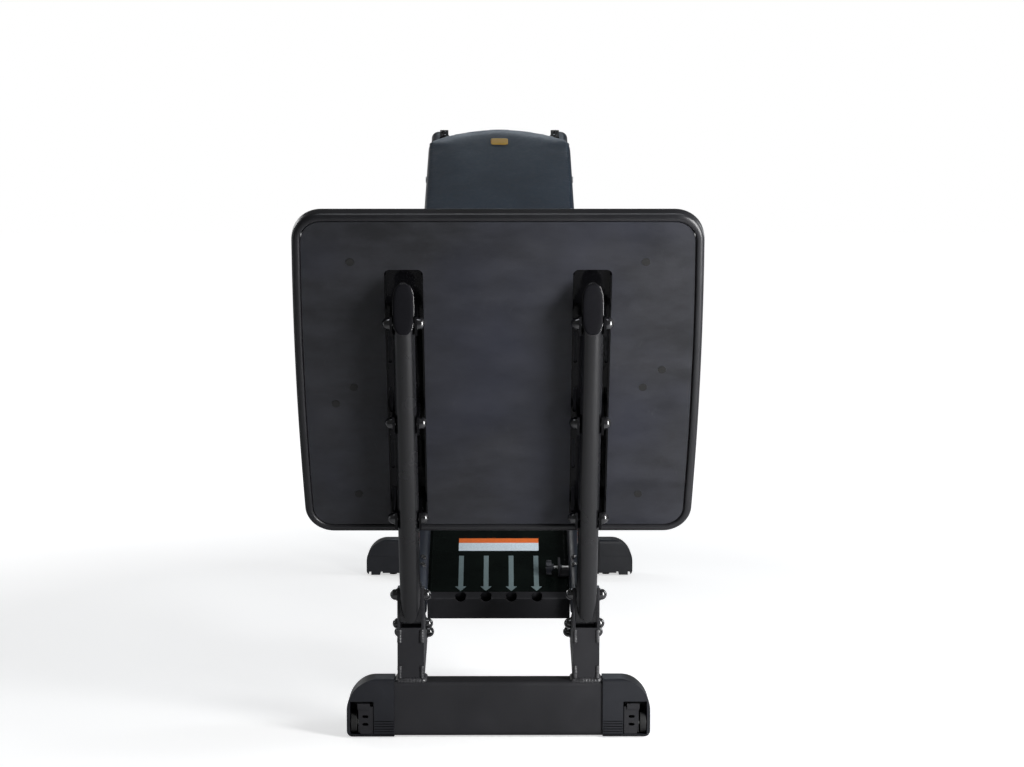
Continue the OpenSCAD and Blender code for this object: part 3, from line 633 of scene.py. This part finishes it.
def makeNotice():
    # Two thin flat sheets side by side, one per colour, laid on the anchor panel above the arrow tails
    arrows = tiltedBox("band_arrows")
    base = arrows[0][2]
    u0 = arrows[1][1] + noticeShape["above"]
    parts = {}
    middle = u0 + noticeShape["pale"]
    for key, low, high in (("pale", u0, middle), ("band", middle, middle + noticeShape["band"])):
        x = np.linspace(-noticeShape["halfWidth"], noticeShape["halfWidth"], 12)
        u = np.linspace(low, high, 4)
        top = np.stack([*np.meshgrid(x, u, indexing="ij"), np.full((12, 4), base + noticeShape["thick"])], -1)
        bottom = top - [0, 0, noticeShape["thick"]]
        ring = np.concatenate([top, bottom[:, ::-1]], 1)
        mesh = meshFromGrid(key, toRow(ring), closeV=True, capEnds=True)
        outwards(mesh)
        parts[key] = mesh
    addPiece("notice_pale_plate", parts["pale"], "frame",
             printed("pale print", (0.78, 0.90, 0.98)), smooth=False)
    addPiece("notice_orange_band", parts["band"], "frame",
             printed("orange print", (0.92, 0.19, 0.035)), smooth=False)


makeNotice()

# Back pad: a crowned form swollen by a cloth simulation, flat on its board, with a sewn border seam
padShape = {"shrink": 0.001, "edge": 0.011, "crown": 0.004, "lift": 0.004, "underGap": 0.001, "voxel": 0.0075,
            "pressure": 4.0, "heldBand": 0.004, "cap": 0.005, "easing": 30, "frames": 20,
            "seamDrop": 0.014, "seamDepth": 0.0022, "seamWidth": 0.004, "seamReach": 0.05}


def padPlan(count=220):
    # The pad's outline in (x, u), from the node's own points put in order of their angle round the middle
    c = coordsOf(nodes["back_pad"].data)
    t = np.stack([c[:, 0], c[:, 1] * cosT + c[:, 2] * sinT], -1)
    centre = (t.min(0) + t.max(0)) / 2
    angle = np.arctan2((t[:, 1] - centre[1]) / np.ptp(t[:, 1]), (t[:, 0] - centre[0]) / np.ptp(t[:, 0]))
    order = np.argsort(angle)
    ring = t[order]
    apart = np.linalg.norm(ring - np.roll(ring, 1, 0), axis=1) > 1e-5
    ring = ring[apart]
    closed = np.vstack([ring, ring[:1]])
    gaps = np.concatenate([[0], np.cumsum(np.linalg.norm(np.diff(closed, axis=0), axis=1))])
    s = np.linspace(0, gaps[-1], count, endpoint=False)
    return np.stack([np.interp(s, gaps, closed[:, k]) for k in range(2)], -1), centre, s


def insetOutline(outline, by):
    # Moves each point square to the outline's tangent, inwards
    tangent = np.roll(outline, -1, 0) - np.roll(outline, 1, 0)
    tangent /= np.linalg.norm(tangent, axis=1)[:, None]
    inward = np.stack([-tangent[:, 1], tangent[:, 0]], -1)
    return outline + by * inward


def padStart():
    # Rings from the middle out and down the sides: a dome that is fuller in the middle, on a flat underside
    outline, centre, _ = padPlan()
    lo, hi = tiltedBox("back_pad")
    floor = lo[2] + padShape["underGap"]
    radius = padShape["edge"]
    shoulder = hi[2] - padShape["crown"] + padShape["lift"]
    base = insetOutline(outline, padShape["shrink"])
    rings, heights = [], []
    for share in np.linspace(0.03, 0.9, 14):
        rings.append(centre + (base - centre) * share)
        heights.append(np.full(len(base), shoulder + padShape["crown"] * (1 - share ** 4)))
    edge = np.radians(np.linspace(0, 90, 7))
    inner = insetOutline(base, radius)
    for a in edge:
        rings.append(inner + (base - inner) * math.sin(a))
        heights.append(np.full(len(base), shoulder - radius * (1 - math.cos(a))))
    for drop in (0.5, 0.2, 0.0):
        rings.append(base)
        heights.append(np.full(len(base), floor + (shoulder - radius - lo[2]) * drop))
    for share in (0.9, 0.5, 0.04):
        rings.append(centre + (base - centre) * share)
        heights.append(np.full(len(base), floor))
    grid = np.concatenate([np.array(rings), np.array(heights)[..., None]], -1)
    mesh = meshFromGrid("back pad", toRow(grid), closeV=True, capEnds=True)
    outwards(mesh)
    return mesh


def swollen(piece):
    # Cloth under pressure, held along its flat underside; a point may move no further than the cap
    underside = tiltedBox("back_pad")[0][2]
    start = coordsOf(piece.data)
    w = start[:, 2] * cosT - start[:, 1] * sinT
    held = piece.vertex_groups.new(name="held")
    held.add(np.flatnonzero(w < underside + padShape["heldBand"]).tolist(), 1.0, "REPLACE")
    cloth = piece.modifiers.new("swell", "CLOTH")
    cloth.settings.use_pressure = True
    cloth.settings.uniform_pressure_force = padShape["pressure"]
    cloth.settings.effector_weights.gravity = 0
    cloth.settings.vertex_group_mass = "held"
    cloth.settings.quality = 5
    scene = bpy.context.scene
    for f in range(1, padShape["frames"] + 1):
        scene.frame_set(f)
    evaluated = piece.evaluated_get(bpy.context.evaluated_depsgraph_get())
    end = coordsOf(evaluated.data)
    piece.modifiers.remove(cloth)
    move = end - start
    far = np.linalg.norm(move, axis=1)
    move *= (np.minimum(far, padShape["cap"]) / np.maximum(far, 1e-9))[:, None]
    ends = np.empty(len(piece.data.edges) * 2, int)
    piece.data.edges.foreach_get("vertices", ends)
    ends = ends.reshape(-1, 2)
    degree = np.bincount(ends.ravel(), minlength=len(move))[:, None]
    for _ in range(padShape["easing"]):
        total = np.zeros_like(move)
        np.add.at(total, ends[:, 0], move[ends[:, 1]])
        np.add.at(total, ends[:, 1], move[ends[:, 0]])
        move = 0.5 * move + 0.5 * total / degree
    piece.data.vertices.foreach_set("co", (start + move).ravel())
    piece.data.update()
    scene.frame_set(1)


def applied(piece):  # the piece with its modifiers made part of the mesh
    evaluated = piece.evaluated_get(bpy.context.evaluated_depsgraph_get())
    mesh = bpy.data.meshes.new_from_object(evaluated)
    piece.modifiers.clear()
    piece.data = mesh
    return mesh


def seamAttributes(mesh):
    # Nearness to the border seam, a line at a set drop under the crown round the pad, and the length along it
    outline, _, s = padPlan(900)
    top = tiltedBox("back_pad")[1][2]
    c = coordsOf(mesh)
    x, u = c[:, 0], c[:, 1] * cosT + c[:, 2] * sinT
    w = c[:, 2] * cosT - c[:, 1] * sinT
    flat = np.stack([x, u], -1)
    nearest = nearestPoint(outline, flat)
    along = s[nearest]
    toEdge = np.linalg.norm(outline[nearest] - flat, axis=1)
    line = top - padShape["seamDrop"]
    distance = np.where(toEdge < padShape["seamReach"], np.abs(w - line), 1.0)
    nearness = np.exp(-(distance / padShape["seamWidth"]) ** 2)
    normals = np.empty(len(c) * 3)
    mesh.vertices.foreach_get("normal", normals)
    moved = c - normals.reshape(-1, 3) * (nearness * padShape["seamDepth"])[:, None]
    mesh.vertices.foreach_set("co", moved.ravel())
    for key, value in (("seamNearness", nearness), ("seamLength", along)):
        attribute = mesh.attributes.new(key, "FLOAT", "POINT")
        attribute.data.foreach_set("value", value.astype(np.float32))
    mesh.update()


def nearestPoint(points, targets, chunk=4000):
    # Index of the nearest outline point for each target, worked out in blocks
    found = np.empty(len(targets), int)
    for first in range(0, len(targets), chunk):
        block = targets[first:first + chunk]
        found[first:first + chunk] = ((block[:, None] - points[None]) ** 2).sum(-1).argmin(1)
    return found


def makePad():
    mesh = padStart()
    piece = addPiece("back_pad_cover", mesh, "glideboard", finishes["pad_vinyl"],
                     replaces=("back_pad",))
    remesh = piece.modifiers.new("even mesh", "REMESH")
    remesh.mode = "VOXEL"
    remesh.voxel_size = padShape["voxel"]
    remesh.use_smooth_shade = True
    applied(piece)
    swollen(piece)
    smooth = piece.modifiers.new("ease", "SMOOTH")
    smooth.factor = 0.5
    smooth.iterations = 3
    rounder = piece.modifiers.new("finer", "SUBSURF")
    rounder.levels = rounder.render_levels = 1
    mesh = applied(piece)
    seamAttributes(mesh)
    mesh.materials.clear()
    mesh.materials.append(finishes["pad_vinyl"])
    mesh.polygons.foreach_set("use_smooth", np.full(len(mesh.polygons), True))
    return piece


pad = makePad()
print("pad", len(pad.data.polygons))

# Small plain sewn tab near the head end of the pad
tabShape = {"half": 0.026, "wide": 0.024, "thick": 0.0016, "fromHead": 0.128, "corner": 6.0,
            "margin": 0.02, "blend": 4e-6}


def coverHeight(padPiece, x, u):
    # Height w of the cover's upper side over points (x, u): a mean of the cover points round the tab, each
    # weighted by 1 / (squared distance + blend) squared
    c = coordsOf(padPiece.data)
    cu = c[:, 1] * cosT + c[:, 2] * sinT
    cw = c[:, 2] * cosT - c[:, 1] * sinT
    lo, hi = tiltedBox("back_pad")
    near = np.abs(cu - u.mean()) < np.ptp(u) / 2 + tabShape["margin"]
    near &= np.abs(c[:, 0] - x.mean()) < np.ptp(x) / 2 + tabShape["margin"]
    near &= cw > (lo[2] + hi[2]) / 2
    d = (x.reshape(-1, 1) - c[near, 0]) ** 2 + (u.reshape(-1, 1) - cu[near]) ** 2
    weight = 1 / (d + tabShape["blend"]) ** 2
    return ((weight * cw[near]).sum(1) / weight.sum(1)).reshape(x.shape)


def makeTab(padPiece):
    # A soft-cornered patch (superellipse), raised by a low dome over the cover's own height, its edge turned
    # down
    u0 = tiltedBox("back_pad")[1][1] - tabShape["fromHead"]
    t = np.linspace(0, 2 * math.pi, 72, endpoint=False)
    power = 2 / tabShape["corner"]
    cx = tabShape["half"] * np.sign(np.cos(t)) * np.abs(np.cos(t)) ** power
    cu = tabShape["wide"] * np.sign(np.sin(t)) * np.abs(np.sin(t)) ** power
    out = np.linspace(0.05, 1, 12)
    p = np.append(out, 1.0)
    rise = tabShape["thick"] * (1 - np.append(out ** 8 * 0.5, 2.2))
    x, u = p[:, None] * cx, u0 + p[:, None] * cu
    grid = np.stack([x, u, coverHeight(padPiece, x, u) + rise[:, None]], -1)
    mesh = meshFromGrid("tab", toRow(grid), closeV=True, capEnds=True)
    outwards(mesh)
    k = nodeTree("yellow thread")
    rows = k.add("TexWave", {"Vector": k.coords, "Scale": 260.0, "Distortion": 0.6}, wave_type="BANDS",
                 bands_direction="X").outputs["Fac"]
    thread = k.finish(k.ramp(rows, [(0.2, (0.50, 0.27, 0.035)), (0.8, (0.78, 0.50, 0.09))]), 0.55,
                      k.bump(rows, 0.6, 0.0006))
    addPiece("pad_sewn_tab", mesh, "glideboard", thread)


makeTab(pad)

# Floor, lights and camera
stageShape = {"size": 60.0, "drop": 0.0004, "glow": (0.57, 0.93), "fade": (1.4, 3.3), "worldLight": 0.10}


def makeFloor():
    # Pale where the camera sees it, and brighter away from the machine; a mid grey for light thrown back
    s = stageShape["size"]
    mesh = bpy.data.meshes.new("floor")
    z = -stageShape["drop"]
    mesh.from_pydata([(-s, -s, z), (s, -s, z), (s, s, z), (-s, s, z)], [], [(0, 1, 2, 3)])
    floor = bpy.data.objects.new("floor", mesh)
    bpy.context.scene.collection.objects.link(floor)
    t = nodeTree("pale floor")
    tone = t.ramp(t.noise(3, 4), [(0.3, (0.74, 0.74, 0.74)), (0.7, (0.76, 0.76, 0.76))])
    reach = t.add("VectorMath", {0: t.coords}, operation="LENGTH").outputs["Value"]
    glow = t.remap(reach, *stageShape["glow"], *stageShape["fade"])
    t.tree.links.new(glow, t.shader.inputs["Emission Strength"])
    t.finish(tone, 0.8, None, Specular_IOR_Level=0.1, Emission_Color=(1, 1, 1, 1))
    grey = t.add("BsdfDiffuse", {"Color": (0.5, 0.5, 0.51, 1)})
    seen = t.add("LightPath").outputs["Is Camera Ray"]
    both = t.add("MixShader", {0: seen, 1: grey.outputs[0], 2: t.shader.outputs[0]})
    output = next(n for n in t.tree.nodes if n.type == "OUTPUT_MATERIAL")
    t.tree.links.new(both.outputs[0], output.inputs["Surface"])
    mesh.materials.append(t.material)


def areaLight(name, place, target, size, power, colour):
    data = bpy.data.lights.new(name, "AREA")
    data.shape = "RECTANGLE"
    data.size, data.size_y = size
    data.energy = power
    data.color = colour
    light = bpy.data.objects.new(name, data)
    light.location = place
    light.visible_camera = False
    light.rotation_mode = "QUATERNION"
    light.rotation_quaternion = (Vector(target) - Vector(place)).to_track_quat("-Z", "Y")
    bpy.context.scene.collection.objects.link(light)


studioLights = {
    "key softbox": {"place": (1.50, -2.28, 0.85), "target": (0.1, -1.15, 0.60), "size": (0.5, 1.7),
                    "power": 58, "colour": (1, 1, 1)},
    "side softbox": {"place": (3.0, 0.4, 1.6), "target": (0, 0.2, 0.6), "size": (1.8, 1.8), "power": 40,
                     "colour": (0.96, 0.98, 1)},
    "left edge strip": {"place": (-2.4, -1.0, 0.9), "target": (0, -1.1, 0.5), "size": (0.12, 1.8), "power": 4,
                        "colour": (0.9, 0.95, 1)},
    "head strip": {"place": (0.1, 3.7, 2.7), "target": (0, 1.0, 1.3), "size": (1.6, 0.25), "power": 14,
                   "colour": (0.80, 0.90, 1)},
    "top strip": {"place": (0.3, -1.9, 3.0), "target": (0, -0.9, 0.9), "size": (2.2, 0.3), "power": 14,
                  "colour": (0.92, 0.95, 1)},
    "back fill": {"place": (-3.6, 3.6, 2.4), "target": (0, 0.2, 0.6), "size": (2.2, 1.6), "power": 45,
                  "colour": (1, 1, 1)},
}


def makeLights():
    for name, s in studioLights.items():
        areaLight(name, **s)
    world = bpy.data.worlds.new("studio")
    bpy.context.scene.world = world
    world.use_nodes = True
    tree = world.node_tree
    back = tree.nodes["Background"]
    back.inputs["Color"].default_value = (1, 1, 1, 1)
    back.inputs["Strength"].default_value = stageShape["worldLight"]
    seen = tree.nodes.new("ShaderNodeBackground")
    seen.inputs["Color"].default_value = (1, 1, 1, 1)
    seen.inputs["Strength"].default_value = 1.0
    path = tree.nodes.new("ShaderNodeLightPath")
    mix = tree.nodes.new("ShaderNodeMixShader")
    tree.links.new(path.outputs["Is Camera Ray"], mix.inputs["Fac"])
    tree.links.new(back.outputs[0], mix.inputs[1])
    tree.links.new(seen.outputs[0], mix.inputs[2])
    tree.links.new(mix.outputs[0], tree.nodes["World Output"].inputs["Surface"])
    bpy.context.scene.view_settings.view_transform = "Standard"


cameraPlace = {"right": 0.008, "back": 4.7006, "height": 1.1658, "down": 4.883, "turn": 0.256, "lens": 78.15}


def makeCamera():
    data = bpy.data.cameras.new("camera")
    data.lens = cameraPlace["lens"]
    data.sensor_width = 36.0
    data.clip_end = 200
    camera = bpy.data.objects.new("camera", data)
    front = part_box("front_base_bar")[0].y
    camera.location = (cameraPlace["right"], front - cameraPlace["back"], cameraPlace["height"])
    camera.rotation_euler = (math.radians(90 - cameraPlace["down"]), 0, -math.radians(cameraPlace["turn"]))
    bpy.context.scene.collection.objects.link(camera)
    bpy.context.scene.camera = camera


makeFloor()
makeLights()
makeCamera()
print("stage")
